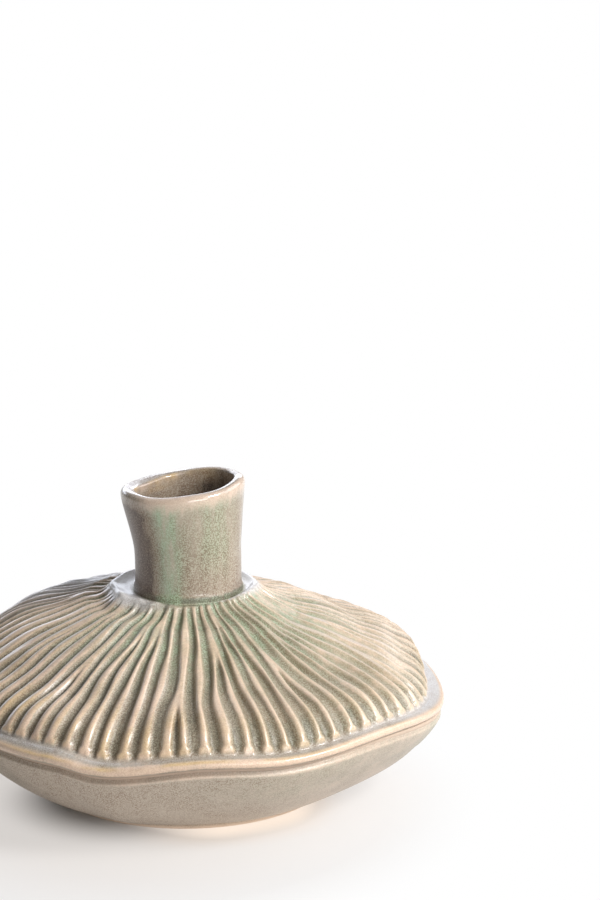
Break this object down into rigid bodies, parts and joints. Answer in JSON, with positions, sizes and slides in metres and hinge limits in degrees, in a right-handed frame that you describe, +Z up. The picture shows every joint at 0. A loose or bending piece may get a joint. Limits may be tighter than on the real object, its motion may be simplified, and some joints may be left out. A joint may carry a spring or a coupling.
{
  "type": "vase",
  "caption": "Squat round stoneware vase with a carved fan-ribbed dome, a rolled seam lip, a flat foot and a short flared neck for stems.",
  "frame": {"origin": "centre of the flat foot, on the surface that the vase stands on", "axes": "+Z up along the neck; -Y is the front that faces the viewer; the mouth leans towards -X"},
  "size_m": [0.209, 0.209, 0.1284],
  "materials": {
    "bowl_glaze": "satin taupe stoneware glaze with fine speckle, bare clay at the foot",
    "carved_glaze": "satin taupe glaze, tan where it breaks on ridges and grey-green where it pools in grooves",
    "neck_glaze": "satin taupe glaze with green runs and fine brown speckle",
    "slip": "fired slip under pooled brown glaze"
  },
  "bodies": {
    "root": {"lower_bowl": "bowl_glaze", "seam_slip": "slip", "carved_dome": "carved_glaze", "neck_slip": "slip", "neck": "neck_glaze", "collar_coil": "carved_glaze"}
  },
  "joints": []
}
